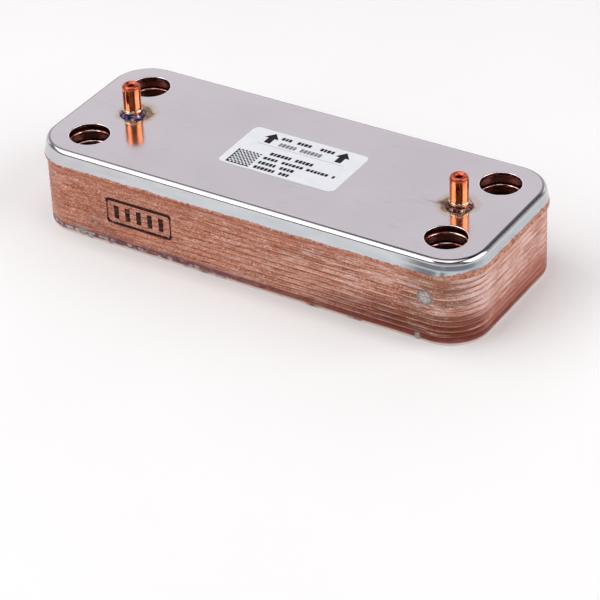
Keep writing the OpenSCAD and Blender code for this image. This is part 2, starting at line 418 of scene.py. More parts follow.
def cover_look():
    """Satin rolled stainless steel, with heat tint round the studs and copper drawn up the skirt."""
    m = Look("cover_satin_steel")
    grain = m.noise((60, 2600, 2600), 3, 0.6)
    base = m.ramp(m.noise(26, 3), (0.3, (0.620, 0.600, 0.615)), (0.7, (0.660, 0.640, 0.655)))
    fine = m.step(m.noise((25, 1500, 1500), 2, 0.7, offset=3), 0.63, 0.75)
    base = m.mix(m.times(fine, 0.10), base, (0.78, 0.77, 0.78))
    rubbed = m.step(m.noise((140, 420, 300), 4, 0.6, offset=13), 0.56, 0.74)
    base = m.mix(m.times(rubbed, 0.14), base, (0.45, 0.43, 0.46))
    for side, shift in (("left", (0.9, 1.1)), ("right", (-1.1, 0.3))):
        base = tinted(m, base, STUDS[side], shift)
    base = smeared(m, base, STUDS["right"])
    # a painted dark reflection line along the start of the bend all round, and a painted highlight on the
    # port rims
    at_port = near_ports(m, 8.5 * MM)
    bend = m.band(m.z, TOP - 0.002 * MM, TOP - 0.03 * MM, TOP - 0.20 * MM, TOP - 0.42 * MM)
    bend = m.times(bend, m.minus(1.0, at_port))
    base = m.mix(m.times(bend, 0.80), base, (0.15, 0.13, 0.155))
    rim = m.band(m.z, TOP - 0.001 * MM, TOP - 0.012 * MM, TOP - 0.18 * MM, TOP - 0.24 * MM)
    base = m.mix(m.times(rim, at_port), base, (0.96, 0.93, 0.94))
    skirt = m.step(m.z, TOP - 1.2 * MM, TOP - 2.0 * MM)
    base = m.mix(skirt, base, skirt_steel(m))
    # copper creeps up the skirt's lower edge in teeth, with dark tips
    above = above_copper(m)
    copper = m.step(above, 0.14 * MM, -0.14 * MM)
    reds = m.ramp(m.noise((700, 700, 1100), 4), (0.34, (0.30, 0.10, 0.06)), (0.66, (0.70, 0.38, 0.26)))
    base = m.mix(copper, base, reds)
    tips = m.step(m.gap(above, 0.06 * MM), 0.22 * MM, 0.08 * MM)
    tips = m.times(tips, m.step(m.noise(420, 3, offset=19), 0.50, 0.62))
    base = m.mix(m.times(tips, skirt, 0.75), base, (0.17, 0.07, 0.06))
    # painted shade and copper tint: the ports' cut faces are darkened to a copper brown
    inside = m.times(near_ports(m, 8.0 * MM), m.step(m.z, TOP - 0.22 * MM, TOP - 0.5 * MM))
    base = m.mix(m.times(inside, 0.85), base, (0.24, 0.07, 0.045))
    rough = m.blend(copper, m.linear(grain, 0.10, 0.10), 0.42)
    m.bump((grain, 0.0016 * MM), (m.noise(55, 2, offset=2), 0.02 * MM), (copper, 0.03 * MM))
    return m.metal(base, rough)


# ---------------------------------------------------------------- the looks of the pack's side
STAMP_INK = (0.030, 0.010, 0.014)
STAMP_X, STAMP_Z = -45.7 * MM, 15.5 * MM
STAMP_HALF_W, STAMP_HALF_H, STAMP_CORNER = 14.2 * MM, 5.0 * MM, 1.2 * MM
BAR_PITCH = 5.0 * MM
BARS_HALF_W = 2.5 * BAR_PITCH


def stamp_mask(m):
    """A blank rounded frame with five plain upright bars, inked on the front of the pack."""
    dx = m.minus(m.gap(m.x, STAMP_X), STAMP_HALF_W - STAMP_CORNER)
    dz = m.minus(m.gap(m.z, STAMP_Z), STAMP_HALF_H - STAMP_CORNER)
    out = m.length(m.larger(dx, 0.0), m.larger(dz, 0.0))
    inside = m.math("MINIMUM", m.larger(dx, dz), 0.0)
    edge = m.gap(m.plus(out, inside), STAMP_CORNER)
    # the frame's level sides are printed thicker than its ends
    thicker = m.times(m.step(dz, -0.6 * MM, 0.0), 0.34 * MM)
    line = m.step(m.minus(edge, thicker), 0.42 * MM, 0.20 * MM)
    t = m.math("DIVIDE", m.minus(m.x, STAMP_X - BARS_HALF_W), BAR_PITCH)
    from_bar = m.gap(m.math("FRACT", t), 0.5)
    bars = m.times(m.step(from_bar, 0.25, 0.19), m.step(m.gap(m.z, STAMP_Z), 2.9 * MM, 2.6 * MM))
    bars = m.times(bars, m.step(m.gap(m.x, STAMP_X), BARS_HALF_W + 0.1 * MM, BARS_HALF_W - 0.1 * MM))
    broken = m.step(m.noise((900, 900, 1500), 3, offset=12), 0.26, 0.36)
    front = m.step(m.y, -35 * MM, -35.6 * MM)
    return m.times(m.larger(line, bars), broken, front)


def right_end(m):
    """1 on the right end of the pack."""
    return m.step(m.x, 84 * MM, 93 * MM)


def rightwards(m):
    """Rises from 0 at the left to 1 at the right."""
    return m.step(m.x, -50 * MM, 75 * MM)


def painted_edge_glint(m):
    """Uneven along the pack: where the painted highlight on the plates' edges shows."""
    return m.step(m.noise((130, 130, 60), 3, offset=21), 0.36, 0.56)


def orange_top(m, base, amount, colour):
    """The top plates are a deeper orange, except on the right end."""
    orange = m.times(m.step(m.z, COVER_EDGE - 3.2 * MM, COVER_EDGE - 0.8 * MM), m.step(m.x, 90 * MM, 60 * MM))
    return m.mix(m.times(orange, amount), base, colour)


def phase(m):
    """Height within one pitch: 0 at a channel plate's lower edge, 1 just under the next edge."""
    return m.math("FRACT", m.math("DIVIDE", m.minus(m.z, edge_z(PLATES)), PITCH))


def furnace(m, base):
    """What the furnace left low on the pack's side: a redder low right end and deep brown on the front; also
    a darker band along the foot, painted shade under the plates' edges and a painted highlight along the
    bottom edge.
    """
    level = phase(m)
    # lit keeps the painted highlight just above each plate's edge paler through the stains below
    lit = m.step(level, 0.34, 0.10)             # the plates' edges, which stay paler
    red = m.times(m.step(m.z, 17 * MM, 5 * MM), right_end(m))
    red = m.times(red, m.step(m.noise((70, 70, 120), 3, offset=3), 0.30, 0.50))
    base = m.mix(m.times(red, m.linear(lit, -0.26, 0.86)), base, (0.46, 0.125, 0.075))
    # deep brown low on the front, towards the right corner
    fired = m.times(m.step(m.z, 15 * MM, 7 * MM), m.step(m.x, 15 * MM, 66 * MM))
    fired = m.times(fired, m.step(m.y, -17 * MM, -28 * MM))
    fired = m.times(fired, m.step(m.noise((60, 60, 800), 4, 0.6, offset=33), 0.30, 0.50))
    base = m.mix(m.times(fired, m.linear(lit, -0.26, 0.84)), base, (0.15, 0.030, 0.016))
    # a darker band along the foot: violet at the left, red-brown at the right
    dark_foot = m.times(m.step(m.z, 5.0 * MM, 2.4 * MM), m.step(m.y, 28 * MM, 0.0))
    dark_foot = m.times(dark_foot, m.step(m.noise((110, 110, 420), 4, offset=7), 0.24, 0.50))
    darkening = m.mix(m.step(m.x, -40 * MM, 40 * MM), (0.13, 0.065, 0.10), (0.22, 0.055, 0.045))
    base = m.mix(m.times(dark_foot, m.linear(lit, -0.24, 0.80)), base, darkening)
    # painted shade in the hollow under each plate's edge, low on the front towards the right
    painted_crease_shade = m.times(m.step(level, 0.62, 0.82), m.step(m.z, 13 * MM, 7 * MM), m.step(m.x, 0.0, 70 * MM))
    base = m.mix(m.times(painted_crease_shade, 0.55), base, (0.09, 0.018, 0.012))
    # grey lumps, and a pale line along the foot that is a painted highlight on the bottom edge
    lumps = m.times(m.step(m.cells((330, 330, 560), 2), 0.56, 0.34), m.step(m.z, 3.1 * MM, 2.2 * MM))
    lumps = m.times(lumps, m.step(m.x, 5 * MM, -35 * MM), m.step(m.noise(200, 2, offset=23), 0.36, 0.50))
    greys = m.ramp(m.noise(900, 3, offset=29), (0.36, (0.30, 0.26, 0.31)), (0.6, (0.74, 0.70, 0.73)))
    base = m.mix(m.times(lumps, 0.9), base, greys)
    foot = m.times(m.step(m.z, 1.15 * MM, 0.90 * MM), m.step(m.noise((90, 90, 90), 3, offset=27), 0.30, 0.46))
    return m.mix(m.times(foot, 0.85), base, (0.94, 0.80, 0.72))


# splashes of braze on the front: x, z and radius in mm, strength
SPLASHES = (
    (76.6, 18.8, 3.4, 0.92),
    (73.5, 1.6, 1.6, 0.7),
    (71.0, 23.2, 1.2, 0.28),
    (-72.5, 2.2, 1.9, 0.7),
    (-69, 1.4, 1.6, 0.7),
    (-66, 7.6, 1.0, 0.6),
    (-66.5, 10.2, 0.9, 0.6),
)


def splashes(m, base):
    """Splashes of grey braze on the front, each with a darker rim."""
    front = m.step(m.y, -33 * MM, -34 * MM)
    for sx, sz, r, strength in SPLASHES:
        d = m.length(m.minus(m.x, sx * MM), m.minus(m.z, sz * MM))
        d = m.plus(d, m.linear(m.noise(700, 3, offset=11), 0.9 * r * MM, -0.45 * r * MM))
        spot = m.times(m.step(d, r * MM, 0.8 * r * MM), front)
        rim = m.times(spot, m.step(d, 0.5 * r * MM, 0.85 * r * MM))
        greys = m.ramp(m.noise(1500, 2), (0.35, (0.30, 0.27, 0.25)), (0.62, (0.66, 0.64, 0.58)))
        base = m.mix(m.times(spot, strength), base, greys)
        base = m.mix(m.times(rim, 0.8 * strength), base, (0.15, 0.11, 0.15))
    return base


def flecked(m, base, along):
    """Pale specks and patches, dark pits, and thin brown runs that grow towards the right."""
    end = m.step(m.x, 87 * MM, 92 * MM)
    brown = m.step(m.noise((70, 70, 1150), 4, 0.6, offset=31), 0.52, 0.62)
    brown = m.times(brown, m.linear(along, 0.62, 0.12), m.linear(end, -0.6, 1.0))
    base = m.mix(brown, base, (0.22, 0.07, 0.04))
    corner = m.times(m.step(m.x, 60 * MM, 78 * MM), m.step(m.y, -25 * MM, -31 * MM))
    dull = m.times(corner, m.step(m.noise((45, 45, 700), 4, 0.6, offset=37), 0.38, 0.60))
    base = m.mix(m.times(dull, 0.60), base, (0.25, 0.12, 0.08))
    patch = m.step(m.noise((75, 75, 520), 4, 0.6, offset=35), 0.50, 0.64)
    patch = m.times(patch, m.linear(along, 0.50, 0.14))
    base = m.mix(patch, base, (0.86, 0.62, 0.55))
    flecks = m.step(m.noise((1050, 1050, 2100), 2, 0.75, offset=6), 0.59, 0.68)
    flecks = m.times(flecks, m.step(m.noise(120, 3, offset=26), 0.36, 0.58))
    base = m.mix(m.times(flecks, 0.78), base, (0.97, 0.84, 0.78))
    pits = m.step(m.noise((1050, 1050, 1800), 2, 0.75, offset=41), 0.60, 0.69)
    pits = m.times(pits, m.step(m.noise(140, 3, offset=16), 0.38, 0.58), m.linear(end, -0.5, 1.0))
    return m.mix(m.times(pits, 0.75), base, (0.12, 0.03, 0.022))


def coated_look():
    """Stainless steel with a thin, streaky film of copper that ran over it in the furnace."""
    m = Look("coated_steel")
    streak = m.noise((150, 150, 1700), 5, 0.66, 0.3)
    speck = m.noise((1150, 1150, 1900), 3, 0.7, offset=3)
    cloud = m.noise(48, 3, offset=5)
    t = m.plus(m.times(streak, 0.34), m.times(speck, 0.44), m.times(cloud, 0.22))
    base = m.ramp(
        t, (0.38, (0.22, 0.065, 0.035)), (0.46, (0.47, 0.175, 0.105)),
        (0.53, (0.62, 0.27, 0.175)), (0.61, (0.80, 0.45, 0.34)))
    # round the right corner the side is pinker and streakier
    pinks = m.ramp(
        streak, (0.36, (0.48, 0.18, 0.13)), (0.50, (0.69, 0.36, 0.29)), (0.62, (0.82, 0.56, 0.50)))
    base = m.mix(m.times(right_end(m), 0.72), base, pinks)
    # painted highlight: a pale band where the corner turns into the right end
    bend = m.times(m.step(m.x, 88 * MM, 91 * MM), m.band(m.y, -34 * MM, -28 * MM, -22 * MM, -13 * MM))
    base = m.mix(m.times(bend, 0.45), base, (0.90, 0.70, 0.68))
    # painted highlight just above each plate's lower edge and painted shade in the hollow just under each
    # edge, faint at the left and stronger towards the right
    along = rightwards(m)
    level = phase(m)
    pale = m.times(m.step(level, 0.30, 0.12), painted_edge_glint(m), m.linear(along, 0.34, 0.10))
    base = m.mix(pale, base, (0.88, 0.66, 0.58))
    painted_shade = m.times(m.step(level, 0.62, 0.82), m.linear(along, 0.42, 0.22))
    base = m.mix(painted_shade, base, (0.24, 0.06, 0.035))
    base = flecked(m, base, along)
    base = orange_top(m, base, 0.5, (0.46, 0.15, 0.075))
    base = splashes(m, furnace(m, base))
    stamp = stamp_mask(m)
    base = m.mix(m.times(stamp, 0.96), base, STAMP_INK)
    # painted shade: dark inside the ports, above the back plate's upper face
    inside = m.times(near_ports(m, 11.6 * MM), m.step(m.z, BACK_TOP - 0.7 * MM, BACK_TOP - 0.3 * MM))
    base = m.mix(m.times(inside, 0.92), base, (0.060, 0.016, 0.013))
    rough = m.linear(m.noise((300, 300, 1200), 3, offset=2), 0.26, 0.27)
    rough = m.blend(inside, m.plus(rough, m.times(stamp, 0.2)), 0.2)
    m.bump((streak, 0.08 * MM), (speck, 0.07 * MM))
    return m.metal(base, rough)


def braze_look():
    """Copper that melted and set again, with a painted highlight on the rounded edge and painted dark red
    shade in the hollow below it.
    """
    m = Look("braze_copper")
    speck = m.noise((1150, 1150, 1900), 3, 0.7, offset=3)
    t = m.plus(m.times(m.noise((240, 240, 900), 4, 0.62), 0.5), m.times(speck, 0.5))
    base = m.ramp(t, (0.38, (0.24, 0.07, 0.04)), (0.5, (0.52, 0.20, 0.125)), (0.62, (0.74, 0.40, 0.30)))
    base = m.mix(m.times(right_end(m), 0.5), base, (0.66, 0.34, 0.28))
    along = rightwards(m)
    level = phase(m)
    # painted shade in the hollow under each edge and a painted highlight on the rounded edge above it, both
    # stronger to the right
    painted_shade = m.times(m.step(level, 0.60, 0.85), m.linear(along, 0.45, 0.20))
    base = m.mix(painted_shade, base, (0.22, 0.05, 0.03))
    pale = m.times(m.step(level, 0.30, 0.12), m.linear(painted_edge_glint(m), 0.6, 0.1), m.linear(along, 0.85, 0.10))
    base = m.mix(pale, base, (0.90, 0.70, 0.63))
    base = flecked(m, base, along)
    base = orange_top(m, base, 0.55, (0.44, 0.13, 0.065))
    base = splashes(m, furnace(m, base))
    base = m.mix(m.times(stamp_mask(m), 0.96), base, STAMP_INK)
    # the beads inside the ports are wetter and redder
    inside = near_ports(m, 9.0 * MM)
    wet = m.ramp(m.noise((330, 330, 1500), 3), (0.42, (0.34, 0.075, 0.05)), (0.62, (0.86, 0.66, 0.61)))
    base = m.mix(inside, base, wet)
    rough = m.blend(inside, m.linear(m.noise(420, 3, offset=2), 0.3, 0.24), 0.10)
    m.bump((m.noise(900, 4, 0.6), 0.05 * MM))
    return m.metal(base, rough)


# ---------------------------------------------------------------- looks of the small parts
def stud_look():
    """Bright copper plating with fine drawing lines, a pale weld bead by the foot and a darker top."""
    m = Look("stud_copper")
    lines = m.noise((1400, 1400, 120), 3, 0.6)
    cloud = m.noise(300, 3, offset=2)
    t = m.plus(m.times(lines, 0.45), m.times(cloud, 0.55))
    base = m.ramp(t, (0.34, (0.74, 0.165, 0.055)), (0.5, (0.88, 0.245, 0.09)), (0.66, (0.94, 0.335, 0.15)))
    up = m.minus(m.z, TOP)
    pale = m.band(up, 1.45 * MM, 1.65 * MM, 2.7 * MM, 3.0 * MM)
    golds = m.ramp(m.noise(600, 3, offset=9), (0.35, (0.66, 0.42, 0.26)), (0.6, (0.95, 0.82, 0.66)))
    base = m.mix(m.times(pale, 0.85), base, golds)
    line = m.band(up, 2.75 * MM, 2.85 * MM, 3.0 * MM, 3.15 * MM)
    base = m.mix(m.times(line, 0.6), base, (0.20, 0.05, 0.025))
    scorched = m.step(m.plus(up, m.times(m.noise(500, 3), 0.9 * MM)), 1.7 * MM, 1.1 * MM)
    base = m.mix(m.times(scorched, 0.85), base, (0.09, 0.04, 0.05))
    mouth = m.step(up, 11.3 * MM, 12.1 * MM)
    reds = m.ramp(m.noise(700, 3, offset=4), (0.36, (0.26, 0.035, 0.02)), (0.62, (0.52, 0.10, 0.06)))
    base = m.mix(m.times(mouth, 0.88), base, reds)
    rough = m.blend(mouth, m.linear(lines, 0.12, 0.05), 0.30)
    m.bump((lines, 0.006 * MM), (m.noise(700, 3, offset=5), 0.012 * MM))
    return m.metal(base, rough)


def flash_look():
    """Metal squeezed out by the weld: blued by the heat at the left stud, brown at the right."""
    m = Look("weld_flash")
    t = m.noise(360, 3, 0.5)
    blue = m.ramp(
        t, (0.34, (0.022, 0.018, 0.045)), (0.48, (0.075, 0.055, 0.14)),
        (0.58, (0.30, 0.22, 0.34)), (0.68, (0.90, 0.84, 0.90)))
    brown = m.ramp(
        t, (0.34, (0.030, 0.012, 0.014)), (0.50, (0.11, 0.045, 0.04)),
        (0.60, (0.32, 0.19, 0.16)), (0.70, (0.95, 0.84, 0.78)))
    base = m.mix(m.step(m.x, -20 * MM, 20 * MM), blue, brown)
    rough = m.linear(m.noise(900, 3, offset=2), 0.24, 0.12)
    m.bump((m.noise(620, 3, 0.5), 0.10 * MM))
    return m.metal(base, rough)


def film_look():
    """White plastic film, faintly mottled and not quite flat."""
    m = Look("label_film")
    base = m.ramp(m.noise(220, 4), (0.3, (0.67, 0.685, 0.735)), (0.7, (0.72, 0.735, 0.78)))
    m.bump((m.noise(1800, 3), 0.004 * MM), (m.noise(70, 2, offset=3), 0.02 * MM))
    rough = m.linear(m.noise(300, 3, offset=7), 0.14, 0.36)
    return m.set(Base_Color=base, Roughness=rough)


def ink_look(name, dark, light):
    """Matt printing ink, a little uneven."""
    m = Look(name)
    base = m.ramp(m.noise(1600, 3), (0.35, dark), (0.7, light))
    m.bump((m.noise(2200, 2), 0.002 * MM))
    rough = m.linear(m.noise(600, 2, offset=3), 0.2, 0.5)
    return m.set(Base_Color=base, Roughness=rough, Specular_IOR_Level=0.12)


COVER = cover_look()
COATED = coated_look()
BRAZE = braze_look()
STUD = stud_look()
FLASH = flash_look()
FILM = film_look()
INK = ink_look("label_ink", (0.006, 0.005, 0.008), (0.016, 0.014, 0.020))
GREY_INK = ink_look("label_grey_ink", (0.16, 0.155, 0.17), (0.24, 0.235, 0.25))


# ---------------------------------------------------------------- trays: cover and back plate
# profile of a port's rim: (outwards, down), in mm
PORT_RIM = ((0.32, 0.0), (0.15, 0.022), (0.05, 0.075), (0.0, 0.19))


def arc_points(cu, cz, r, a0, a1, steps):
    """Points of an arc from angle a0 to a1, in degrees."""
    angles = [math.radians(a0 + (a1 - a0) * i / steps) for i in range(steps + 1)]
    return [(cu + r * math.cos(a), cz + r * math.sin(a)) for a in angles]


def tray(name, k, top, edge, t, bend, material, node, holes=(), hole_r=0.0):
    """A pressed tray: flat top, bend and flared skirt, with rounded sheet edges."""
    b = Build()
    flare = math.degrees(FLARE)
    cu = skirt_u(k, top - bend) - bend / math.cos(FLARE)
    outside = arc_points(cu, top - bend, bend, 90, flare, 16)
    start, low, steps = outside[-1][1], edge + 0.14 * MM, 7
    for i in range(1, steps + 1):
        z = start + (low - start) * i / steps
        outside.append((skirt_u(k, z), z))
    across = t / math.cos(FLARE)
    outside.append((skirt_u(k, edge) - 0.05 * MM, edge + 0.04 * MM))
    outside.append((skirt_u(k, edge) - 0.16 * MM, edge))
    inside = [(skirt_u(k, edge) - across + 0.1 * MM, edge), (skirt_u(k, edge) - across, edge + 0.1 * MM)]
    inside += arc_points(cu, top - bend, bend - t, flare, 90, 8)
    rows = [b.row(ring_row(u, z)) for u, z in outside + inside]
    b.strip(rows)
    tops, unders = [], []
    for p in holes:
        rim = [b.row(spin_row(p, hole_r + du * MM, top - dz * MM)) for du, dz in PORT_RIM]
        rim.append(b.row(spin_row(p, hole_r, top - t)))
        b.strip(rim)
        tops.append(rim[0])
        unders.append(rim[-1])
    b.fill(rows[0], tops, up=True)
    b.fill(rows[-1], unders, up=False)
    return b.done(name, material, [node], sharp=50)


tray("cover", 0, TOP, COVER_EDGE, COVER_T, COVER_BEND, COVER, "cover_plate", PORTS, PORT_R)
tray("back", PLATES + 1, BACK_TOP, 0.0, BACK_T, BEND_R, COATED, "back_plate")


# ---------------------------------------------------------------- copper in the joints
# profile of the copper bead round a joint in a port: (radius, height from the joint), in mm
LIP = [
    (8.75, 0.43), (8.68, 0.51), (8.50, 0.575), (8.28, 0.58),
    (8.08, 0.51), (7.93, 0.38), (7.83, 0.21), (7.80, 0.07),
]
LIP += [(r, -h) for r, h in reversed(LIP)]
# the fillet's face from the top down: shares of its width and of its height
FILLET = ((0.90, 0.10), (0.62, 0.24), (0.30, 0.5), (0.10, 0.8))
FILLET_W, FILLET_H = 0.36 * MM, 0.62 * MM


def seam(k):
    """Uneven copper fillet below the edge of sheet k all round, and the beads in the ports it seals."""
    b = Build()
    z = edge_z(k)
    big = 2.8 if k == 0 else 1.0      # the fillet under the cover's thicker edge is larger
    # the fillet's width and height at each column
    w, h = np.empty(len(OUTLINE)), np.empty(len(OUTLINE))
    for i, (x, y, nx, ny) in enumerate(OUTLINE):
        p = (x + nx * CORNER_R, y + ny * CORNER_R, z)
        flush = min(1.0, max(0.0, (70 * MM - p[0]) / (120 * MM)))
        w[i] = 1 + 0.14 * flush + 0.24 * wobble(p, 260, k) + 0.16 * wobble(p, 900, k + 40)
        h[i] = 1 + 0.7 * flush + 0.45 * wobble(p, 190, k + 7) + 0.30 * wobble(p, 800, k + 60)
    w *= FILLET_W * big
    h *= FILLET_H * min(big, 1.5)
    inner = skirt_u(k + 1, z)
    slope = math.tan(FLARE)
    h = np.minimum(h, z - 0.02 * MM)
    w = np.minimum(w, skirt_u(k, z) - inner - 0.03 * MM)
    if k == 0:
        rows = [b.row(ring_row(inner - 0.03 * MM, z + 0.05 * MM)), b.row(ring_row(inner + w, z + 0.05 * MM))]
    else:
        # the copper also rolls over the cut edge of the sheet above
        ridge = 0.040 * MM * (1 + 1.1 * np.array([wobble((x, y, z), 420, k + 80) for x, y, _, _ in OUTLINE]))
        ridge = ridge * np.clip((OUTLINE[:, 0] + 95 * MM) / (150 * MM), 0.15, 1.0)
        rows = [b.row(ring_row(inner - 0.03 * MM, z + 0.10 * MM))]
        rows.append(b.row(ring_row(skirt_u(k, z + 0.42 * MM) - 0.02 * MM, z + 0.42 * MM)))
        rows.append(b.row(ring_row(skirt_u(k, z + 0.24 * MM) + 0.7 * ridge, z + 0.24 * MM)))
        rows.append(b.row(ring_row(skirt_u(k, z + 0.08 * MM) + ridge, z + 0.08 * MM)))
        rows.append(b.row(ring_row(skirt_u(k, z) + 0.2 * ridge, z - 0.03 * MM)))
    for f, g in FILLET:
        rows.append(b.row(ring_row(inner + w * f + h * g * slope, z - h * g)))
    rows.append(b.row(ring_row(inner + h * slope - 0.01 * MM, z - h)))
    b.strip(rows, loop=True)
    # each joint seals the two ports on one side; the beads at the cover and back plate are cut off flat
    sign = 1 if k % 2 == 0 else -1
    joint = crest_z(k + 1)
    low, high = (0.0 if k == PLATES else -1.0), (0.0 if k == 0 else 1.0)
    for p in PORTS:
        if p[1] * sign < 0:
            continue
        n = 60
        turn = [(8 * MM * math.cos(a), 8 * MM * math.sin(a)) for a in (2 * math.pi * i / n for i in range(n))]
        bead = []
        for r, dz in LIP:
            uneven = np.array([wobble((p[0] + dx, p[1] + dy, joint + dz * MM), 300, k) for dx, dy in turn])
            level = joint + min(high, max(low, dz)) * MM
            bead.append(b.row(spin_row(p, r * MM + 0.05 * MM * uneven, level, n)))
        b.strip(bead, loop=True)
    return b.done(f"copper_seam_{k:02d}", BRAZE, [f"braze_{k:02d}"], sharp=60)


for k in range(SEAMS):
    seam(k)


# ---------------------------------------------------------------- studs and their weld flash
# profile of a stud's foot and weld bead: (outwards from the shank, height above the foot), in mm
STUD_FOOT = (
    (0.20, 0.0), (0.20, 1.40), (0.24, 1.56), (0.31, 1.70), (0.36, 1.90), (0.38, 2.12), (0.36, 2.34),
    (0.29, 2.54), (0.17, 2.70), (0.04, 2.80), (-0.03, 2.88), (-0.03, 3.02), (0.0, 3.16),
)
ROUND_W, ROUND_H = 1.2 * MM, 1.45 * MM        # rounding of a stud's top
AROUND = 96                                   # points round a stud and its flash


def stud(side):
    """A stud: foot with a weld bead, shank, rounded top and a blind bore."""
    node = f"stud_{side}"
    low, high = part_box(node)
    c = STUDS[side]
    top = high.z
    b = Build()
    profile = [(STUD_R + du * MM, low.z + h * MM) for du, h in STUD_FOOT]
    profile += [(STUD_R, low.z + h * MM) for h in (4.0, 6.0, 8.0, 10.0, 11.2)]
    profile.append((STUD_R - 0.015 * MM, low.z + 11.45 * MM))
    for a in (math.radians(v) for v in range(6, 91, 7)):
        profile.append((STUD_R - ROUND_W * (1 - math.cos(a)), top - ROUND_H * (1 - math.sin(a))))
    profile += [(2.20 * MM, top - 0.03 * MM), (1.34 * MM, top - 0.62 * MM)]
    profile += [(STUD_BORE_R, top - h * MM) for h in (0.74, 1.5, 4.0, 8.5)]
    rows = [b.row(spin_row(c, rr, z, AROUND)) for rr, z in profile]
    b.strip(rows)
    b.cap(rows[-1], (c.x, c.y, top - 9.3 * MM))
    b.cap(rows[0], (c.x, c.y, low.z))
    b.done(f"stud_piece_{side}", STUD, [node], sharp=55)


# profile of a weld's flash from the stud outwards: shares of its reach and of its height
FLASH_SHAPE = (
    (0.0, 0.92), (0.10, 1.02), (0.22, 1.06), (0.36, 1.02), (0.50, 0.90), (0.64, 0.72), (0.76, 0.52),
    (0.88, 0.38), (0.98, 0.24), (1.06, 0.08), (1.07, -0.02),
)


def flash(side, seed):
    """Lumpy ring of metal that the weld squeezed out round a stud's foot."""
    node = f"stud_weld_{side}"
    low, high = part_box(node)
    c = STUDS[side]
    inner, outer, tall = STUD_R + 0.17 * MM, (high.x - low.x) / 2, high.z - low.z
    b = Build()
    rows = []
    for f, g in FLASH_SHAPE:
        pts = []
        for i in range(AROUND):
            a = 2 * math.pi * i / AROUND
            d = (math.cos(a), math.sin(a), 0)
            at = (d[0], d[1], f)
            lump = 0.30 * wobble(d, 1.7, seed) + 0.20 * wobble(at, 4.6, seed + 9)
            lump += 0.12 * wobble(at, 11, seed)
            reach = outer * (1.03 + 0.12 * wobble(d, 1.4, seed + 3) + 0.05 * wobble(d, 6, seed + 5))
            rr = inner + (reach - inner) * f * (1 + 0.10 * wobble((d[0], d[1], f * 2), 5, seed + 2))
            z = low.z + tall * g * (0.82 + lump) if g > 0 else low.z
            pts.append((c.x + d[0] * rr, c.y + d[1] * rr, z))
        rows.append(b.row(pts))
    b.strip(rows)
    b.done(f"weld_flash_{side}", FLASH, [node], sharp=180)


for side, seed in (("left", 3.1), ("right", 17.7)):
    stud(side)
    flash(side, seed)


# ---------------------------------------------------------------- label
LABEL_LOW, LABEL_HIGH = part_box("label")
LABEL_C = (LABEL_LOW + LABEL_HIGH) / 2


def rounded_rect(cx, cy, w, h, r, steps=8):
    """Corner points of a rectangle with round corners, anticlockwise."""
    pts = []
    for sx, sy, a0 in ((1, 1, 0), (-1, 1, 90), (-1, -1, 180), (1, -1, 270)):
        for i in range(steps + 1):
            a = math.radians(a0 + 90 * i / steps)
            pts.append((cx + sx * (w / 2 - r) + r * math.cos(a), cy + sy * (h / 2 - r) + r * math.sin(a)))
    return pts


def label_film():
    """The label's sheet, with a fine rounded edge."""
    b = Build()
    w, h = LABEL_HIGH.x - LABEL_LOW.x, LABEL_HIGH.y - LABEL_LOW.y
    top = LABEL_HIGH.z
    rows = []
    for inset, z in ((0.0, LABEL_LOW.z), (0.0, top - 0.05 * MM), (0.05 * MM, top)):
        loop = rounded_rect(LABEL_C.x, LABEL_C.y, w - 2 * inset, h - 2 * inset, LABEL_CORNER - inset)
        rows.append(b.row([(x, y, z) for x, y in loop]))
    b.strip(rows)
    b.fill(rows[-1], [], up=True)
    b.fill(rows[0], [], up=False)
    b.done("label_sheet", FILM, ["label"], sharp=30)


def printed(name, shapes, material):
    """Flat printed shapes that stand a hair above the film; each is a list of (x, y) on the label in mm."""
    b = Build()
    z = LABEL_HIGH.z + 0.012 * MM
    for shape in shapes:
        f = b.bm.faces.new([b.bm.verts.new((LABEL_C.x + x * MM, LABEL_C.y + y * MM, z)) for x, y in shape])
        f.normal_update()
        if f.normal.z < 0:
            f.normal_flip()
    b.done(name, material)


def bar(x0, x1, y, h):
    """A level bar with slightly rounded ends."""
    return rounded_rect((x0 + x1) / 2, y, x1 - x0, h, min(h, x1 - x0) * 0.3, 3)


def dashes(x0, x1, y, h, seed):
    """A line of plain dashes that stands in for a line of print."""
    out, x, i = [], x0, seed
    while x < x1 - 0.5:
        w = (1.35, 1.05, 1.5, 1.25)[i % 4]
        if i % 7 != 6 and x1 - x > 0.9:
            out.append(bar(x, min(x + w, x1), y, h))
        x += w + 0.26
        i += 1
    return out


def arrow(cx, y0, y1):
    """A plain arrow that points up."""
    neck, half, stem = y1 - (y1 - y0) * 0.5, 3.0, 1.35
    return [
        (cx - stem, y0), (cx + stem, y0), (cx + stem, neck), (cx + half, neck),
        (cx, y1), (cx - half, neck), (cx - stem, neck),
    ]


label_film()
black = [arrow(-15.0, 5.1, 12.4), arrow(15.8, 5.1, 12.6)]
# lines of dashes: from x, to x, y, height, seed
for line in (
    (-11.2, -7.0, 10.3, 2.0, 0),
    (-4.4, 2.4, 10.3, 2.0, 0),
    (5.6, 12.2, 10.3, 2.0, 0),
    (-9.4, 9.4, -1.0, 2.1, 0),
    (-10.2, 20.6, -4.6, 1.8, 2),
    (-10.2, 5.2, -8.1, 2.0, 1),
    (-10.2, 5.6, -11.5, 2.0, 0),
):
    black += dashes(*line)
# a plain chequered block with a frame, the same all over, which holds no code
CELL, CELLS = 0.80, 12
BLOCK_X, BLOCK_Y, BLOCK_LINE = -21.4, -12.4, 0.5


def rectangle(x0, y0, x1, y1):
    return [(x0, y0), (x1, y0), (x1, y1), (x0, y1)]


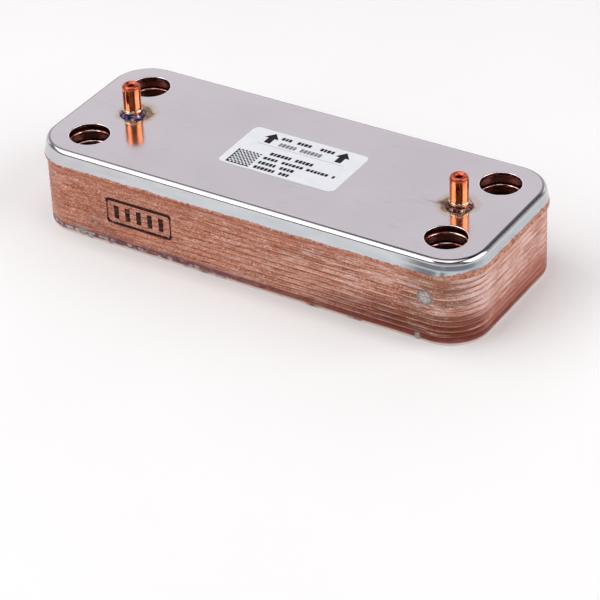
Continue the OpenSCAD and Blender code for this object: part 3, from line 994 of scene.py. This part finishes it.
for i in range(CELLS):
    for j in range(CELLS):
        if (i + j) % 2 == 0:
            x, y = BLOCK_X + i * CELL, BLOCK_Y + j * CELL
            black.append(rectangle(x, y, x + CELL, y + CELL))
black.append(rectangle(BLOCK_X - BLOCK_LINE, BLOCK_Y - BLOCK_LINE, BLOCK_X, BLOCK_Y + CELLS * CELL))
black.append(rectangle(BLOCK_X, BLOCK_Y - BLOCK_LINE, BLOCK_X + CELLS * CELL, BLOCK_Y))
printed("label_print", black, INK)
grey = dashes(-10.0, 10.4, 6.2, 2.5, 1) + [bar(-18.2, 19.4, 3.8, 0.16)]
printed("label_print_grey", grey, GREY_INK)

# ---------------------------------------------------------------- carried-over CAD nodes
# the first name that fits counts; all other nodes are coated steel
NODE_LOOKS = (
    ("braze_", BRAZE), ("stud_weld", FLASH), ("stud_", STUD), ("label", FILM), ("cover_plate", COVER),
)
for name, o in nodes.items():
    o.data.materials.clear()
    o.data.materials.append(next((look for start, look in NODE_LOOKS if name.startswith(start)), COATED))


# ---------------------------------------------------------------- floor, light and camera
TARGET = (37.8 * MM, -56.7 * MM, 17.7 * MM)
AZIMUTH, ELEVATION, ROLL = 32.984, 33.763, 2.646     # degrees
DISTANCE, LENS = 0.981, 166.29                       # metres; mm on a 36 mm sensor
BEHIND = (-math.sin(math.radians(AZIMUTH)), math.cos(math.radians(AZIMUTH)), 0.0)


def floor():
    """Pale round floor that reaches far beyond the camera's view."""
    b = Build()
    b.strip([b.row(spin_row((0, 0), r, 0.0, 96)) for r in (0.0001, 0.3, 0.8, 2.0, 5.0)], smooth=False)
    mesh = bpy.data.meshes.new("floor")
    for f in b.bm.faces:
        f.normal_update()
        if f.normal.z < 0:
            f.normal_flip()
    b.bm.to_mesh(mesh)
    b.bm.free()
    o = bpy.data.objects.new("floor", mesh)
    scene.collection.objects.link(o)
    m = Look("floor_pale")
    base = m.ramp(m.noise(9, 2), (0.3, (0.86, 0.86, 0.86)), (0.7, (0.88, 0.88, 0.88)))
    mesh.materials.append(m.set(Base_Color=base, Roughness=0.8))


def sky():
    """Studio surroundings: a pale backdrop behind, a dim horizon in front, soft light above."""
    world = bpy.data.worlds.new("studio")
    scene.world = world
    world.use_nodes = True
    t = world.node_tree
    t.nodes.clear()
    out = t.nodes.new("ShaderNodeOutputWorld")
    back = t.nodes.new("ShaderNodeBackground")
    t.links.new(back.outputs[0], out.inputs[0])
    coord = t.nodes.new("ShaderNodeTexCoord").outputs["Generated"]
    xyz = t.nodes.new("ShaderNodeSeparateXYZ")
    t.links.new(coord, xyz.inputs[0])

    def by_height(*stops):
        """Colour by the angle above the horizon: (degrees, colour)."""
        n = t.nodes.new("ShaderNodeValToRGB")
        e = n.color_ramp.elements
        while len(e) < len(stops):
            e.new(0.5)
        for item, (degrees, colour) in zip(e, stops):
            item.position = max(0.0, math.sin(math.radians(degrees)))
            item.color = (*colour, 1)
        t.links.new(xyz.outputs[2], n.inputs[0])
        return n.outputs[0]

    def towards(direction, start, end):
        """Rises from 0 to 1 as the cosine of the angle from a direction goes from start to end."""
        dot = t.nodes.new("ShaderNodeVectorMath")
        dot.operation = "DOT_PRODUCT"
        t.links.new(coord, dot.inputs[0])
        dot.inputs[1].default_value = direction
        part = t.nodes.new("ShaderNodeMapRange")
        part.interpolation_type = "SMOOTHSTEP"
        t.links.new(dot.outputs["Value"], part.inputs[0])
        part.inputs[1].default_value = start
        part.inputs[2].default_value = end
        return part.outputs[0]

    def over(fac, a, b, kind="MIX"):
        """Colour a where fac is 0, b where it is 1; LIGHTEN keeps a where it is lighter."""
        n = t.nodes.new("ShaderNodeMix")
        n.data_type, n.blend_type = "RGBA", kind
        for i, socket in ((0, fac), (6, a), (7, b)):
            t.links.new(socket, n.inputs[i])
        return n.outputs[2]

    lilac, dark, black = (0.865, 0.812, 0.865), (0.075, 0.07, 0.075), (0.0, 0.0, 0.0)
    behind = by_height(
        (0, (0.62, 0.60, 0.62)), (8, (0.85, 0.81, 0.85)), (14, (1.25, 1.18, 1.25)), (22, (1.2, 1.13, 1.2)),
        (29, lilac), (41, lilac), (46, dark), (90, dark))
    front = by_height((0, (0.09, 0.06, 0.055)), (12, (0.11, 0.065, 0.055)), (90, (0.09, 0.08, 0.08)))
    low = by_height((0, (0.50, 0.52, 0.55)), (17, (0.48, 0.50, 0.53)), (25, black), (90, black))
    tall = by_height(
        (0, (0.44, 0.42, 0.435)), (21, (0.42, 0.40, 0.415)), (27, (0.15, 0.145, 0.15)),
        (58, (0.15, 0.145, 0.15)), (75, black), (90, black))
    # low pale walls behind on the right and at the far left, and a taller grey one in front on the right,
    # which the cover reflects when it is seen from behind
    colour = over(towards(BEHIND, 0.50, 0.66), front, behind)
    colour = over(towards((0.707, 0.707, 0.0), 0.62, 0.80), colour, low, "LIGHTEN")
    colour = over(towards((-0.97, -0.15, 0.0), 0.72, 0.90), colour, low, "LIGHTEN")
    colour = over(towards((0.35, -0.937, 0.0), 0.70, 0.80), colour, tall, "LIGHTEN")
    t.links.new(colour, back.inputs[0])
    back.inputs[1].default_value = 1.0


def softbox(name, direction, size_x, size_y, radiance, along=(0, 0, 1), distance=1.3):
    """A rectangular light that faces the middle, with its height as near as possible to along."""
    light = bpy.data.lights.new(name, "AREA")
    light.shape, light.size, light.size_y = "RECTANGLE", size_x, size_y
    light.energy = radiance * math.pi * size_x * size_y
    o = bpy.data.objects.new(name, light)
    scene.collection.objects.link(o)
    z = Vector(direction).normalized()
    y = (Vector(along) - z * z.dot(Vector(along))).normalized()
    m = Matrix((y.cross(z), y, z)).transposed().to_4x4()
    m.translation = z * distance
    o.matrix_world = m


def camera(target, azimuth, elevation, distance, roll, lens):
    """A camera that looks at the target; angles in degrees."""
    a, e, r = (math.radians(v) for v in (azimuth, elevation, roll))
    forward = Vector((-math.sin(a) * math.cos(e), math.cos(a) * math.cos(e), -math.sin(e)))
    level = Vector((math.cos(a), math.sin(a), 0))
    right = level * math.cos(r) - level.cross(forward) * math.sin(r)
    up = right.cross(forward)
    data = bpy.data.cameras.new("camera")
    data.lens, data.sensor_width = lens, 36.0
    data.clip_start, data.clip_end = 0.05, 20
    o = bpy.data.objects.new("camera", data)
    scene.collection.objects.link(o)
    m = Matrix((right, up, -forward)).transposed().to_4x4()
    m.translation = Vector(target) - forward * distance
    o.matrix_world = m
    scene.camera = o


floor()
sky()
softbox("strip_left", (-0.565, -0.389, 0.728), 0.72, 1.86, 2.6, along=(0, 1, 0))
softbox("box_right", (0.80, 0.215, 0.559), 1.30, 0.95, 2.5)
softbox("top_light", (0.0, -0.12, 0.99), 1.02, 1.00, 1.9, along=(0, 1, 0))
camera(TARGET, AZIMUTH, ELEVATION, DISTANCE, ROLL, LENS)
scene.view_settings.view_transform = "Standard"
scene.view_settings.look = "None"
